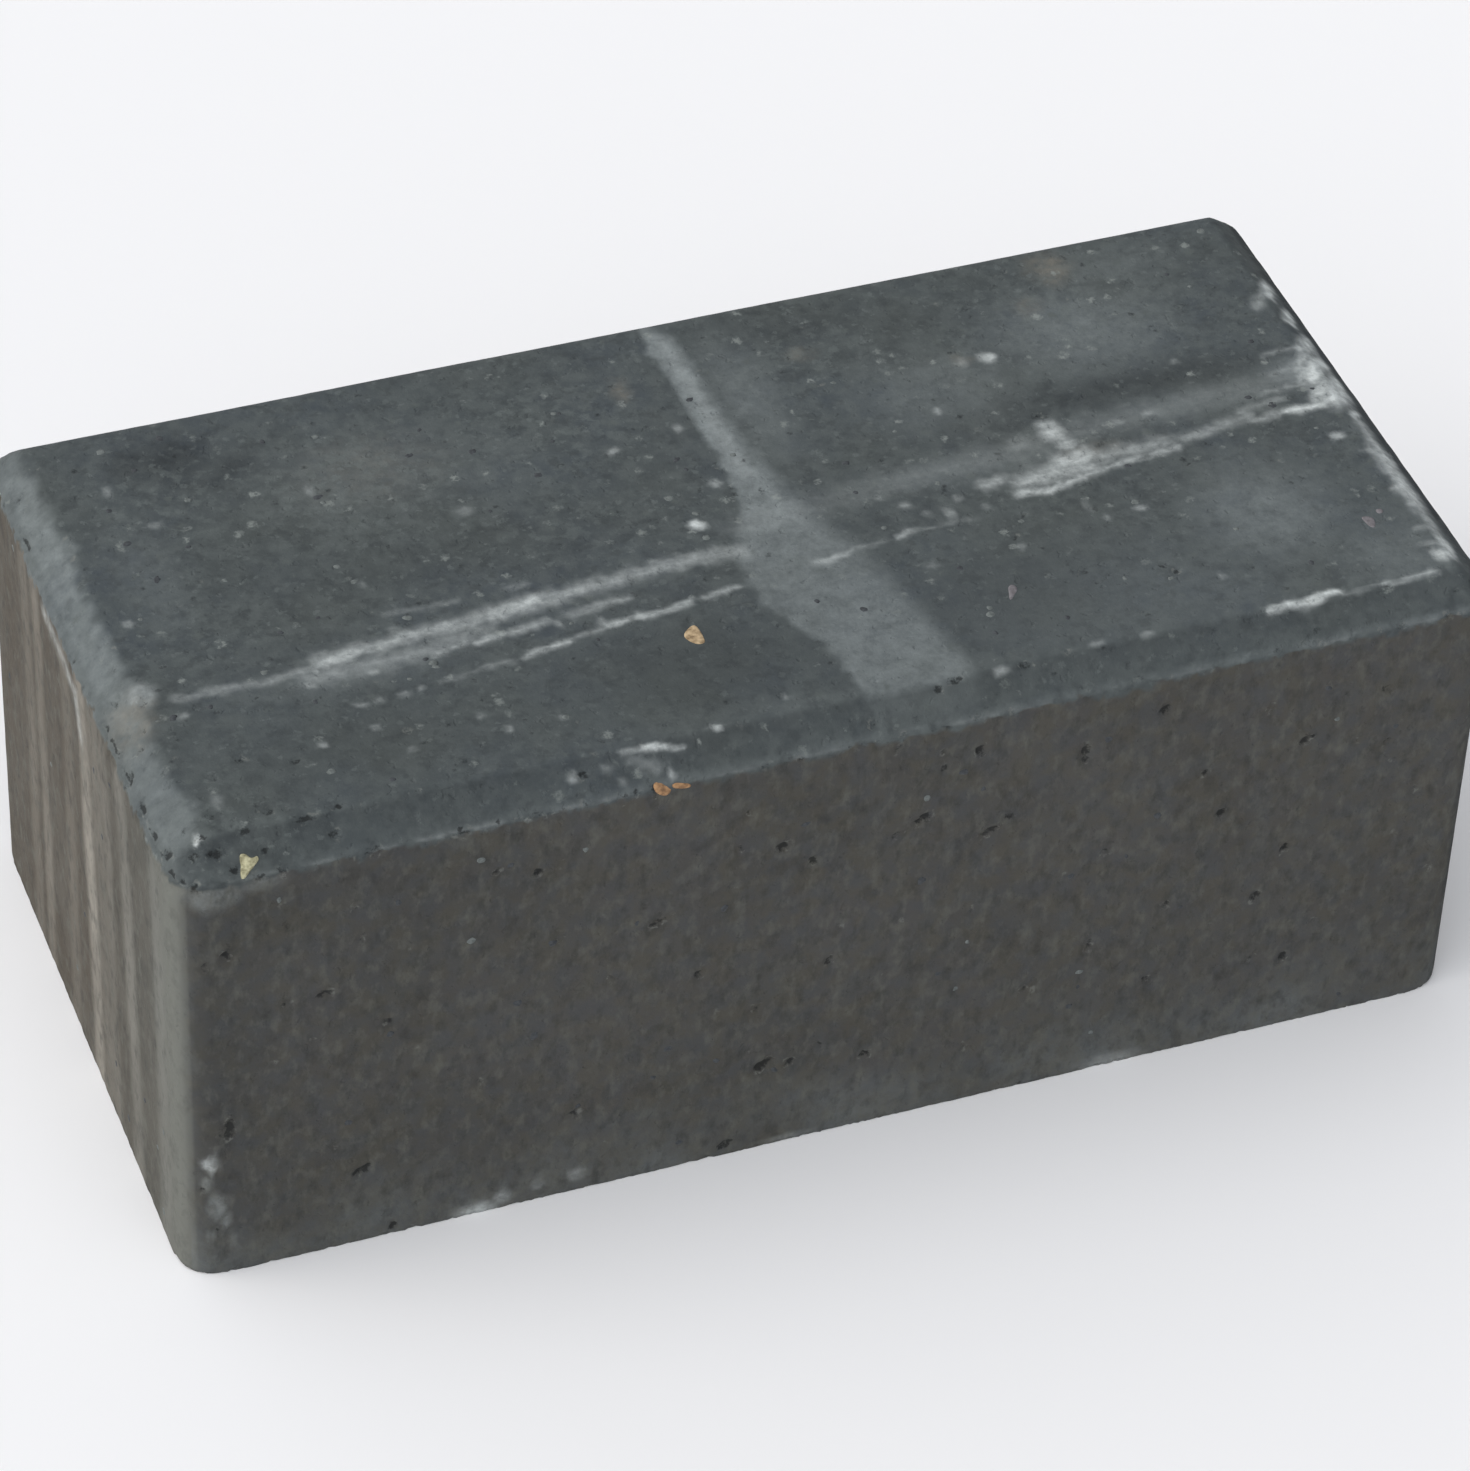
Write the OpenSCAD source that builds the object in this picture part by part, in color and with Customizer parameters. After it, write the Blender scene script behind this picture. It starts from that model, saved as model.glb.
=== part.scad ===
// Solid pressed-concrete wall block, laid dry in courses.
// The origin is the middle of the bed that the block rests on.
// +X runs along the length, -Y is the front face and +Z is up.
// One chamfer runs right round the top face, and the bed keeps sharp edges.

/* [Block] */
// Length of the block, from end face to end face
block_length = 300; // [200:5:600]
// Depth of the block, from front face to back face
block_depth = 150; // [80:5:300]
// Height of the block, from bed to top face
block_height = 120; // [50:5:250]

/* [Edges] */
// How far the chamfer reaches in over the top face
chamfer_inset = 8; // [2:0.5:20]
// How far the chamfer reaches down the faces
chamfer_drop = 6.5; // [2:0.5:20]
// Radius of the corners of the flat top face, inside the chamfer
top_corner_radius = 0.5; // [0.5:0.5:15]

/* [Hidden] */
// The upright corners are concentric with those of the top face.
corner_radius = top_corner_radius + chamfer_inset;
corner_x = block_length / 2 - corner_radius;
corner_y = block_depth / 2 - corner_radius;
shoulder_z = block_height - chamfer_drop;
corner_segments = 64;

// Upright half outline at distance reach from the middle, with the chamfer at its top.
function half_outline(reach) = [
    [0, 0],
    [reach, 0],
    [reach, shoulder_z],
    [reach - chamfer_inset, block_height],
    [0, block_height]
];

// Full upright outline of a slab whose faces stand at -reach and +reach.
function slab_outline(reach) = [
    [-reach, 0],
    [reach, 0],
    [reach, shoulder_z],
    [reach - chamfer_inset, block_height],
    [chamfer_inset - reach, block_height],
    [-reach, shoulder_z]
];

// Round post at one corner, with the chamfer turned round its top.
module corner_post() {
    rotate_extrude($fn = corner_segments) polygon(half_outline(corner_radius));
}

// Middle of the block between the corner posts, from front face to back face.
module front_to_back_slab() {
    rotate([90, 0, 90])
        translate([0, 0, -corner_x])
            linear_extrude(2 * corner_x) polygon(slab_outline(block_depth / 2));
}

// Middle of the block between the corner posts, from end face to end face.
module end_to_end_slab() {
    rotate([90, 0, 0])
        translate([0, 0, -corner_y])
            linear_extrude(2 * corner_y) polygon(slab_outline(block_length / 2));
}

module block() {
    color("dimgray")
        union() {
            front_to_back_slab();
            end_to_end_slab();
            for (x = [-corner_x, corner_x], y = [-corner_y, corner_y])
                translate([x, y, 0]) corner_post();
        }
}

block();
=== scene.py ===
"""Dresses the wall block: one piece of pressed concrete with worn arrises, pits and lime bloom."""
import math
import random

import bpy
import numpy as np
from mathutils import Matrix, Vector
from mathutils.bvhtree import BVHTree


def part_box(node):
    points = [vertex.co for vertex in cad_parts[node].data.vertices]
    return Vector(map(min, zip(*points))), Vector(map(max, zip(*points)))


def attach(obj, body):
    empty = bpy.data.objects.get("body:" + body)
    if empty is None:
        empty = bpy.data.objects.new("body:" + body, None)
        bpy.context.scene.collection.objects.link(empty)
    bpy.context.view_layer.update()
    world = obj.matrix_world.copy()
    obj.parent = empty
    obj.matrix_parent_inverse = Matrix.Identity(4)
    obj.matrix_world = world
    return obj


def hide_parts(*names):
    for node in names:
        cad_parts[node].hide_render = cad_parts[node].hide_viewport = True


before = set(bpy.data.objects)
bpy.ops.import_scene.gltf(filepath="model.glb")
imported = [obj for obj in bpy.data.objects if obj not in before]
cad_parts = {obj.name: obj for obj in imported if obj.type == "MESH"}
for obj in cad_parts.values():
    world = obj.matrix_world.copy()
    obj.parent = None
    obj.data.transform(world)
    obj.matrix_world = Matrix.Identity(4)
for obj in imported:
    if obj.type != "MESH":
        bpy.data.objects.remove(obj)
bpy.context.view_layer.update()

MM = 0.001
low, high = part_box("block")
HALF_LENGTH = high.x / MM
HALF_DEPTH = high.y / MM
HEIGHT = high.z / MM

# The edges, as the block's construction has them.
CHAMFER_INSET = 8.0
CHAMFER_DROP = 6.5
CORNER_RADIUS = 8.5
SHOULDER = HEIGHT - CHAMFER_DROP

# The finish of the faces.
ARRIS_WEAR = 1.0         # width of the worn strip along each arris
MESH_STEP = 1.0          # spacing of the surface's points
SKIN_DEPTH = 0.18        # the faces lie this far inside the solid, which leaves room for grit
END_SKIN_DEPTH = 0.04    # the ends lie closer to it, because their drag bands stand proud
BAND_RELIEF = 0.10       # how far the drag bands stand out of the end faces
SEED = 11


# ---------------------------------------------------------------- camera, light and floor

def add_camera():
    """A long lens from the front left, looking down on the top face."""
    place = Vector((-384, -955, 954)) * MM
    heading, tilt, roll = (math.radians(a) for a in (22.0, 41.17, -2.68))
    data = bpy.data.cameras.new("camera")
    data.sensor_fit = "HORIZONTAL"
    data.sensor_width = 36
    data.lens = 148.8
    camera = bpy.data.objects.new("camera", data)
    bpy.context.collection.objects.link(camera)
    turn = Matrix.Rotation(-heading, 4, "Z") @ Matrix.Rotation(math.pi / 2 - tilt, 4, "X")
    camera.matrix_world = Matrix.Translation(place) @ turn @ Matrix.Rotation(-roll, 4, "Z")
    bpy.context.scene.camera = camera


def linear(code):
    """An sRGB hex colour as linear red, green, blue and alpha."""
    parts = [int(code[i:i + 2], 16) / 255 for i in (1, 3, 5)]
    return tuple(c / 12.92 if c <= 0.04045 else ((c + 0.055) / 1.055) ** 2.4 for c in parts) + (1.0,)


def add_sun(name, strength, colour, spread, heading, height):
    """A wide soft light. heading is where it stands, clockwise from the back; height is its elevation."""
    data = bpy.data.lights.new(name, "SUN")
    data.energy = strength
    data.color = linear(colour)[:3]
    data.angle = math.radians(spread)
    lamp = bpy.data.objects.new(name, data)
    bpy.context.collection.objects.link(lamp)
    around, up = math.radians(heading), math.radians(height)
    towards = Vector((math.sin(around) * math.cos(up), math.cos(around) * math.cos(up), math.sin(up)))
    lamp.rotation_euler = towards.to_track_quat("Z", "Y").to_euler()


def new_material(name):
    """A new material, with its tree of nodes and its shader."""
    material = bpy.data.materials.new(name)
    material.use_nodes = True
    return material, material.node_tree, material.node_tree.nodes["Principled BSDF"]


def add_stage():
    """A plain pale floor, a pale surround that is dimmer on the right, and two wide soft lights."""
    scene = bpy.context.scene
    scene.view_settings.view_transform = "Standard"
    world = bpy.data.worlds.new("studio")
    world.use_nodes = True
    scene.world = world
    tree = world.node_tree
    surround = tree.nodes["Background"]
    surround.inputs["Color"].default_value = linear("#fafbff")
    towards = add_node(tree, "TexCoord", output="Generated")
    across = add_node(tree, "SeparateXYZ", (towards,), "X")
    dimmer = add_node(tree, "MapRange", (across, -1.0, 1.0, 1.10, 0.10))
    tree.links.new(dimmer, surround.inputs["Strength"])
    add_sun("overhead_softbox", 1.1, "#f6f9ff", 80, 235, 64)
    add_sun("left_softbox", 0.75, "#fff4e4", 50, 280, 24)

    bpy.ops.mesh.primitive_plane_add(size=8, location=(0, 0, 0))
    floor = bpy.context.object
    floor.name = "floor"
    paint, _, shader = new_material("matt_studio_paper")
    shader.inputs["Base Color"].default_value = linear("#fbfbfb")
    shader.inputs["Roughness"].default_value = 0.95
    floor.data.materials.append(paint)


# ---------------------------------------------------------------- where the marks lie, in millimetres

# Lime rubbed along the top face: points (x, y), reach on either side, strength.
CHALK_STREAKS = (
    # The long rub on the left, brightest at its blunt start and before the middle.
    (((-102, -21), (-92, -20.5), (-80, -19.5), (-66, -18.5), (-50, -17)), 4.8, 0.57),
    (((-101, -21.5), (-93, -21)), 3.8, 0.78), (((-92, -20), (-80, -19), (-70, -18)), 2.6, 0.66),
    (((-63, -18), (-53, -16.5)), 4.8, 0.74), (((-56, -17), (-52, -16)), 3.6, 0.88),
    (((-50, -16.5), (-38, -15.5), (-20, -13.5), (-4, -14)), 4.8, 0.52),
    (((-48, -17), (-38, -15)), 3.2, 0.64), (((-105, -26), (-84, -25), (-66, -22)), 5.6, 0.42),
    (((-134, -23.5), (-120, -24), (-104, -23.5)), 2.6, 0.44),
    # The lines in front of it.
    (((-78, -27), (-75, -25.5), (-71, -25)), 2, 0.52),
    (((-68, -25.5), (-60, -24.5), (-52, -23.5)), 2.6, 0.62), (((-47, -23), (-33, -21.5)), 2.8, 0.5),
    (((-79, -35.5), (-69, -34)), 1.5, 0.3), (((-69, -34), (-63, -33.5)), 2, 0.44),
    (((-60, -33), (-50, -31)), 2, 0.68), (((-50, -31), (-40, -29)), 1.7, 0.44),
    (((-40, -28.5), (-30, -28), (-20, -27)), 2, 0.76), (((-17, -26.5), (-9, -25)), 1.8, 0.6),
    (((-84, -11), (-68, -11.5)), 1.8, 0.3), (((-57, -11), (-52, -10.5)), 2, 0.38),
    # On the right, the thick patch's sharp lower edge and the rub that leads away from it.
    (((10, -23), (17, -22)), 1.8, 0.62), (((17, -21.5), (28, -20)), 1.4, 0.36),
    (((30, -20), (33, -19.5)), 1.8, 0.66), (((33, -19), (48, -19)), 1.3, 0.32),
    (((54, -9), (58, -8.5)), 3.6, 0.6), (((60, -14), (66, -15), (76, -13.5)), 2.4, 0.78),
    (((62, -11), (68, -10)), 4.6, 0.66), (((67, -10), (78, -9)), 6.8, 0.66),
    (((74, -7), (80, -6)), 5.6, 0.8), (((76, -12.5), (88, -11), (100, -10)), 2.2, 0.66),
    (((82, -8), (98, -7)), 5.6, 0.5), (((102, -7), (112, -6), (120, -4)), 3.6, 0.48),
    (((118, -2), (130, -1)), 2.4, 0.44), (((120, -6), (130, -5.5)), 2.8, 0.54),
    (((129, -5.5), (138, -5.5)), 2.6, 0.88), (((-2, -6), (60, 0), (88, 3), (140, 6)), 8, 0.22),
    (((4, 62), (5, 44), (5, 26), (6, 10)), 4, 0.26),
    # Along the right edge, on both sides of the arris.
    (((141, -4), (144, -1), (146, 4)), 6.6, 1), (((137, -3), (142, 2)), 3.6, 0.8),
    (((139, 4), (145, 11)), 5.4, 1), (((137, 8), (144, 15)), 3, 0.62), (((143, 15), (146, 20)), 4.2, 1),
    (((143.6, 26), (146, 31)), 3, 1), (((143, 36), (145.4, 42)), 3.4, 0.95),
    (((138, 32), (144, 38)), 3.2, 0.46), (((126, 2), (140, 3.5)), 1.8, 0.46),
    (((130, 8), (141, 9)), 1.6, 0.42), (((132, 15), (143, 16)), 1.8, 0.4),
    (((142.5, -11), (145, -8)), 2, 0.95), (((143.4, -13), (143.6, -25)), 3.8, 0.74),
    (((143.4, -24), (143.6, -33), (143.4, -42)), 5.4, 1), (((143.4, -42), (143.2, -54)), 3.8, 0.66),
    (((140, -62), (143, -61)), 3.4, 0.96), (((142.6, -62), (143.4, -56)), 3.4, 0.96),
    (((138, -57.5), (143, -57)), 1.8, 0.44), (((139, -52), (143, -51)), 1.6, 0.4),
    # Along the front arris.
    (((97, -67.5), (101, -67), (106, -67)), 1.9, 0.9), (((101, -67), (108, -67), (113, -66.5)), 2.2, 1),
    (((114, -67.2), (124, -67)), 1.1, 0.42), (((124, -67), (137, -66.6)), 1.4, 0.64),
    (((-51, -67.5), (-45, -68), (-37, -69)), 1.2, 0.56), (((-45, -68), (-41, -68.5)), 1.3, 1),
    (((-42, -72), (-41, -73)), 1.5, 0.66), (((-49, -69), (-44, -72)), 2.4, 0.3),
)
# Spots of lime on the top face: centre x and y, half sizes along them, strength.
CHALK_PATCHES = (
    (75.5, 4.5, 5, 6, 0.76), (76, 4, 3, 3, 0.86), (77, -1, 4, 5, 0.66), (67, 2, 6.5, 4.5, 0.34),
    (136, -17, 2.8, 2.4, 0.64), (35, -10.5, 2.4, 2.2, 0.5), (30, -6.5, 1.6, 1.6, 0.44),
    (43.5, -16, 2.2, 3.6, 0.46), (47, -12, 2, 2.4, 0.4), (52, -16, 2, 2.2, 0.36), (54, 18.5, 1.8, 2, 0.56),
    (72.5, 33, 3.6, 3, 0.8), (66, 33, 2.4, 3, 0.4), (91, 3, 3, 2.2, 0.42), (99, 3, 3.4, 2.2, 0.44),
    (107, -7, 4, 2.6, 0.5), (39, -14, 2, 2.4, 0.36), (84, -27, 2.6, 1.8, 0.52), (76, -28, 2, 1.8, 0.42),
    (73, -23, 2, 4, 0.3), (54, -31, 1.8, 1.6, 0.38), (33, -31, 2.2, 1.8, 0.34), (92, -54, 1.8, 2, 0.4),
    (112, 19, 2.6, 1.8, 0.36), (-10.5, -3, 2.6, 2.8, 0.96), (-41, -27, 1.8, 2.6, 0.5),
    (-50, -25, 1.6, 3, 0.4), (-2, 9, 2, 2.6, 0.54), (-19, 27, 2.2, 2.2, 0.54), (-3, 30, 1.8, 3, 0.42),
    (-57, 17, 3.4, 2.8, 0.34), (-129, 47, 1.8, 3, 0.46), (-122, 33, 2.6, 2, 0.36), (-87, 34, 2, 3, 0.34),
    (-137, 3, 1.4, 2, 0.44), (-104, -24, 1.8, 1.8, 0.58), (-106, -28, 1.6, 1.6, 0.56),
    (-92, -28, 1.8, 1.6, 0.54), (-134, -29.5, 2.4, 1.6, 0.44), (-86, -0.5, 1.6, 1.8, 0.36),
    (-84, -16, 1.8, 2, 0.32), (-109, -47, 1.8, 1.8, 0.5), (-97, -45, 1.5, 1.8, 0.36),
    (-92, -54, 1.6, 1.6, 0.34), (-71, -54, 1.4, 2.2, 0.48), (-75, -48, 2.2, 1.6, 0.32),
    (-59, -54, 1.6, 1.8, 0.36), (-12, -62, 1.6, 1.8, 0.42), (-29.5, -67, 2.2, 1.6, 0.8),
    (-62, -70, 1.8, 1.8, 0.48), (-140, -20, 5, 6, 0.44), (-135, -57, 2.4, 4, 0.3),
    (-142, -66.2, 1.8, 2.4, 0.95), (34.5, -67.5, 2.8, 1.6, 0.56), (57, -66.4, 3, 1.6, 0.36),
    (68.6, -66.9, 3.2, 1.4, 0.38), (-98, -37.5, 2.2, 1.8, 0.44), (-93.5, -37, 1.8, 1.6, 0.36),
    (-88, -37, 2.4, 1.6, 0.38), (-84, -36, 1.8, 1.6, 0.36), (-55, -70, 1.8, 1.8, 0.34),
    (-52, -72.5, 1.6, 1.6, 0.34),
)
# The soft pale cross band: place along the depth, left edge, right edge, strength.
DUST_BAND = (
    (-75, 6, 30, 0.14), (-68.6, 5, 29, 0.18), (-67, 5, 29, 0.62), (-65, 5, 29, 0.62), (-49, 3, 26, 0.66),
    (-41, -1, 24, 0.62), (-33, -5, 22, 0.58), (-21, -4, 20, 0.61), (-11, -1, 16, 0.71), (-1, 2, 13, 0.83),
    (15, 3, 10, 0.93), (35, 2, 8, 0.98), (51, 2, 7.5, 1), (59, 1, 7, 0.96), (66, 2, 4, 0.6),
)
# How far the lime of the left chamfer reaches in from the end: place along the depth, reach, strength.
LEFT_RIM = (
    (-75, 3, 0.14), (-68, 4, 0.24), (-62, 9, 0.46), (-57, 11.5, 0.52), (-51, 8, 0.46), (-42, 7, 0.46),
    (-33, 7, 0.46), (-27, 9, 0.48), (-20, 12, 0.54), (-13, 8.5, 0.62), (-3, 8, 0.66), (8, 7, 0.66),
    (17, 6.5, 0.64), (25, 7, 0.7), (31, 10, 0.76), (36, 7, 0.68), (46, 6.5, 0.68), (54, 7, 0.64),
    (64, 6, 0.54), (70, 7, 0.38),
)
# Even pale haze on the top face, given as the spots are.
HAZES = (
    (110, -36, 26, 28, 0.55), (132, -60, 26, 24, 0.34), (16, 36, 12, 36, 0.42), (-76, 34, 34, 26, 0.2),
    (-50, 30, 24, 20, 0.14), (58, 26, 30, 22, 0.34), (96, 36, 34, 24, 0.5), (112, 56, 26, 14, 0.22),
    (110, 4, 44, 9, 0.26), (46, -2, 34, 8, 0.26), (-98, -27, 34, 8, 0.3), (74, -54, 70, 36, 0.17),
    (-20, -66, 60, 8, 0.1), (-128, 18, 12, 30, 0.2), (136, 8, 11, 9, 0.62), (60, -3, 30, 9, 0.3),
)
# Dark damp patches on the top face.
SMUDGES = (
    (-113, 54, 16, 14, 1), (-122, 55, 8, 8, 0.9), (-100, 48, 12, 8, 0.75), (-108, 44, 16, 7, 0.5),
    (98, 14, 62, 9, 0.72), (76, 14, 8, 4, 0.7), (45, -46, 44, 22, 0.4), (-24, -46, 40, 20, 0.4),
    (-100, -48, 40, 14, 0.22), (30, 58, 30, 12, 0.4), (-60, 4, 70, 14, 0.26), (60, 50, 16, 8, 0.3),
)
# Buff clay stains on the top face.
BUFF_STAINS = (
    (98, 60, 8, 9, 0.85), (88, 48, 6, 5, 0.45), (66, 34, 4, 3, 0.6), (-11, 47, 4, 6, 0.6),
    (32, 47, 5, 4, 0.5), (-72, 38, 26, 18, 0.25), (-144, -26, 8, 14, 0.6), (82, -5, 12, 5, 0.35),
)
# Where the top face is closer than usual, so that less sand shows, and where it is more open.
CLOSE_SKINS = (
    (62, -50, 66, 28, 0.9), (-30, -50, 56, 24, 0.8), (112, -38, 30, 26, 0.6), (-100, -52, 40, 16, 0.4),
)
OPEN_SKINS = (
    (-76, 34, 40, 30, 1), (-120, 40, 28, 24, 0.7), (-30, 40, 34, 26, 0.7), (30, 48, 28, 20, 0.6),
    (96, 44, 44, 24, 0.7), (-120, -6, 30, 18, 0.5), (-136, -64, 16, 12, 1), (-40, 6, 50, 16, 0.4),
)
# Scuffs on the front face: centre x and z, half sizes along them, strength.
FRONT_SCUFFS = (
    (-84, 1, 9, 4, 0.75), (-78, 3, 4, 4, 0.6), (-70, 5, 1.8, 3, 0.9), (-61, 5, 4, 3.5, 0.6),
    (-12, 1, 12, 2, 0.35), (66, 1, 15, 4, 0.5), (-143.4, 33.5, 3.3, 3, 1.15),
)
# Where the skin of the front is grazed through to warm grey, given as the scuffs are.
FRONT_GRAZES = (
    (-144.4, 27.5, 1.8, 3.2, 0.6), (-142.4, 20.5, 2.8, 5.2, 1), (-140.2, 15.6, 1.6, 3, 0.6),
    (-139.4, 9.5, 2.2, 3.4, 0.4), (-144, 11.5, 1.8, 3.4, 0.35), (-141, 110, 8, 5, 0.62),
    (-131, 111.2, 8, 2.8, 0.36),
)
# Pale lips along the arris between the chamfer and the front face, partly wear and partly painted
# highlight: from x, to x, strength.
FRONT_LIPS = (
    (-134, -128, 0.26), (-120, -116, 0.28), (-106, -102, 0.22), (-96, -88, 0.3), (-84, -80, 0.4),
    (-66, -62, 0.28), (-57, -52, 0.28), (-34, -24, 0.2), (-14, -4, 0.24), (22, 30, 0.24), (36, 42, 0.22),
    (72, 80, 0.18), (106, 112, 0.28), (128, 136, 0.22),
)
# Pits on the front face: centre (x, z), half sizes across and up, depth. Wide ones rise to the right.
PIT_LEAN = 0.45
FRONT_PITS = (
    (-145.6, 25.4, 1.2, 1.6, 0.8), (-143.2, 24, 1.1, 1.3, 0.7), (-142.6, 13.4, 1.5, 1.3, 0.8),
    (-139, 93, 1.5, 2, 1), (-139, 43, 1.6, 5.6, 1.1), (-110, 21, 4.2, 1.8, 1.3), (-118, 76, 3.6, 1.5, 0.9),
    (-126, 76, 2, 1.4, 0.7), (-71, 97, 1.8, 1.8, 1), (-66, 98, 1.6, 1.4, 0.6), (-44, 75, 3.4, 1.6, 0.8),
    (-34, 57, 1.8, 1.8, 0.9), (-62, 24, 3, 1.4, 0.8), (-18, 25, 3.6, 2.2, 1.2), (-12, 24, 1.6, 1.6, 0.9),
    (-26, 3, 3.2, 2, 1), (-103, 2, 2, 2.2, 1), (-16, 89, 2.2, 2, 1), (-9, 83, 1.6, 2.4, 0.9),
    (6, 21, 1.8, 1.8, 1), (16, 88, 3.2, 1.8, 1.1), (10, 85, 2, 1.5, 0.7), (28, 104, 1.8, 2.4, 1.1),
    (32, 80, 4, 1.6, 0.9), (36, 83, 1.8, 1.6, 0.8), (53, 97, 1.4, 4.4, 1), (71, 104, 1.8, 2.6, 1.1),
    (60, 66, 1.6, 1.8, 0.8), (82, 83, 2.6, 1.5, 0.8), (87, 70, 1.6, 2, 0.9), (98, 42, 1.8, 1.8, 1),
    (104, 55, 1.8, 1.6, 1), (106, 86, 3, 1.6, 1), (107, 21, 1.7, 2.2, 1), (-80, 100, 1.8, 1.5, 0.7),
    (-104, 64, 1.6, 1.8, 0.7), (124, 96, 1.8, 1.4, 0.7), (-4, 52, 1.4, 2.6, 0.8), (58, 38, 1.3, 4.6, 0.7),
)
# Pits near the worn left corner of the crown and along its chamfer: centre (x, y), half sizes, depth.
CROWN_PITS = (
    (-144, -69, 2.4, 1.5, 1), (-139, -70, 2.8, 1.4, 1), (-148, -64, 1.5, 2.6, 1),
    (-149.2, -57, 1.6, 2.8, 1), (-149, -48, 1.6, 3.2, 1.1), (-149.2, -38, 1.6, 3.6, 1.1),
    (-149.4, -27, 1.5, 3, 1), (-149.4, -22, 1.4, 2, 1), (-149.2, 42, 1.5, 4, 1),
    (-149, -69.5, 1.3, 2.2, 1.1), (-147.6, -72.2, 1.8, 1.4, 1.1), (-145.2, -74, 2.2, 1.1, 1.1),
    (-122, -63.4, 1.8, 1.2, 0.7), (-132, -67, 2.6, 1.4, 0.9), (-119, -67, 3.6, 1.5, 1),
    (-136, -73, 1.6, 2, 1), (-126, -63, 2, 1.3, 0.8), (-129, -71, 1.6, 1.3, 0.8),
    (-112, -66, 2.2, 1.4, 0.8), (-137, -61, 1.6, 1.5, 0.7), (-114, -71, 2, 1.3, 0.8),
    (-60, -70, 2.2, 1.3, 0.8), (76, 10, 3.6, 1.4, 0.8), (-127, -46, 1.8, 1.4, 0.7),
    (-116, -50, 2.2, 1.2, 0.7), (-22, 56, 1.5, 1.3, 0.6), (95, 30, 1.6, 1.3, 0.6), (88, 62, 1.5, 1.4, 0.6),
    (66, 40, 1.5, 1.3, 0.6), (4, -72, 1.8, 1.2, 0.6), (140, -71, 1.5, 1.2, 0.6), (54, -28, 1.3, 1.3, 0.6),
    (24, -67.5, 3, 1.5, 1), (20, -68.5, 1.6, 1.4, 0.8), (40.5, -67.6, 2, 1.4, 0.8), (64, -43, 2, 1.4, 0.7),
    (83, -49, 1.5, 1.4, 0.7), (99, -53, 1.6, 1.3, 0.7), (-45.6, -74.6, 1.6, 1.3, 0.9),
    (-141, -66, 1.8, 1.5, 0.8), (-143, -44, 1.5, 1.8, 0.6), (-145, -34, 1.6, 1.6, 0.7),
    (-141, -23, 1.8, 1.6, 0.7), (-146, -18, 1.6, 1.8, 0.7), (-143, -30, 1.4, 1.6, 0.6),
    (-134, -50, 1.4, 1.4, 0.6), (-95, -66.5, 1.8, 1.2, 0.6), (-82, -68, 1.6, 1.3, 0.6),
)
# Upright drag bands on an end face: place along the depth at the top, at the foot, half width, strength.
LEFT_END_BANDS = (
    (40.5, 41.5, 4.8, 0.36), (31.5, 30.5, 4.6, 0.48), (7.5, 10.5, 5.2, 0.3), (-5.5, -9.5, 5.8, 0.96),
    (-15.5, -18.5, 9.5, 0.32), (-22.5, -23.5, 4, 0.36), (-35.5, -40.5, 5.6, 0.54), (-60.5, -61, 5, 0.34),
)
RIGHT_END_BANDS = (
    (52, 50, 4.2, 0.6), (35, 37, 4.6, 0.7), (17, 14, 4, 0.4), (1, -2, 5.2, 0.85), (-19, -17, 4.2, 0.55),
    (-30, -34, 8, 0.3), (-44, -47, 5, 0.8), (-60, -58, 4, 0.6),
)
# A pale scrape under the chamfer of the left end: points (y, z), half width, strength.
LEFT_END_SCRAPE = (((24, 109.5), (8, 108.5), (-1, 106.5), (-4, 97)), 4.0, 0.52)


# ---------------------------------------------------------------- small helpers for the surface

def fade(distance):
    """1 at distance 0, falling smoothly to 0 at distance 1."""
    near = np.clip(1 - distance, 0, 1)
    return near * near * (3 - 2 * near)


def stroke(x, y, points, reach):
    """1 along a path through points, falling to 0 at its reach on either side."""
    best = np.full(len(x), np.inf)
    for (ax, ay), (bx, by) in zip(points, points[1:]):
        dx, dy = bx - ax, by - ay
        part = np.clip(((x - ax) * dx + (y - ay) * dy) / (dx * dx + dy * dy), 0, 1)
        best = np.minimum(best, np.hypot(x - ax - part * dx, y - ay - part * dy))
    return fade(best / reach)


def patches(x, y, spots, core=0.0):
    """The strongest of several ovals at each point. core is the share of an oval that isn't faded."""
    total = np.zeros(len(x))
    for middle_x, middle_y, half_x, half_y, strength in spots:
        distance = np.hypot((x - middle_x) / half_x, (y - middle_y) / half_y)
        total = np.maximum(total, strength * fade(np.clip((distance - core) / (1 - core), 0, 1)))
    return total


def waves(u, v, size, seed):
    """Smooth random swings between -1 and 1, about size millimetres across."""
    rng = random.Random(seed)
    total = np.zeros(len(u))
    for _ in range(9):
        angle, phase = rng.uniform(0, math.tau), rng.uniform(0, math.tau)
        pitch = math.tau / (size * rng.uniform(0.6, 1.8))
        total += np.sin((u * math.cos(angle) + v * math.sin(angle)) * pitch + phase)
    return total / 4.5


def select_only(*pieces):
    """Selects these pieces alone, or nothing, so that an operator acts on them and on new pieces only."""
    if bpy.context.object and bpy.context.object.mode != "OBJECT":
        bpy.ops.object.mode_set(mode="OBJECT")
    bpy.ops.object.select_all(action="DESELECT")
    for piece in pieces:
        piece.select_set(True)
    if pieces:
        bpy.context.view_layer.objects.active = pieces[0]


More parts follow.
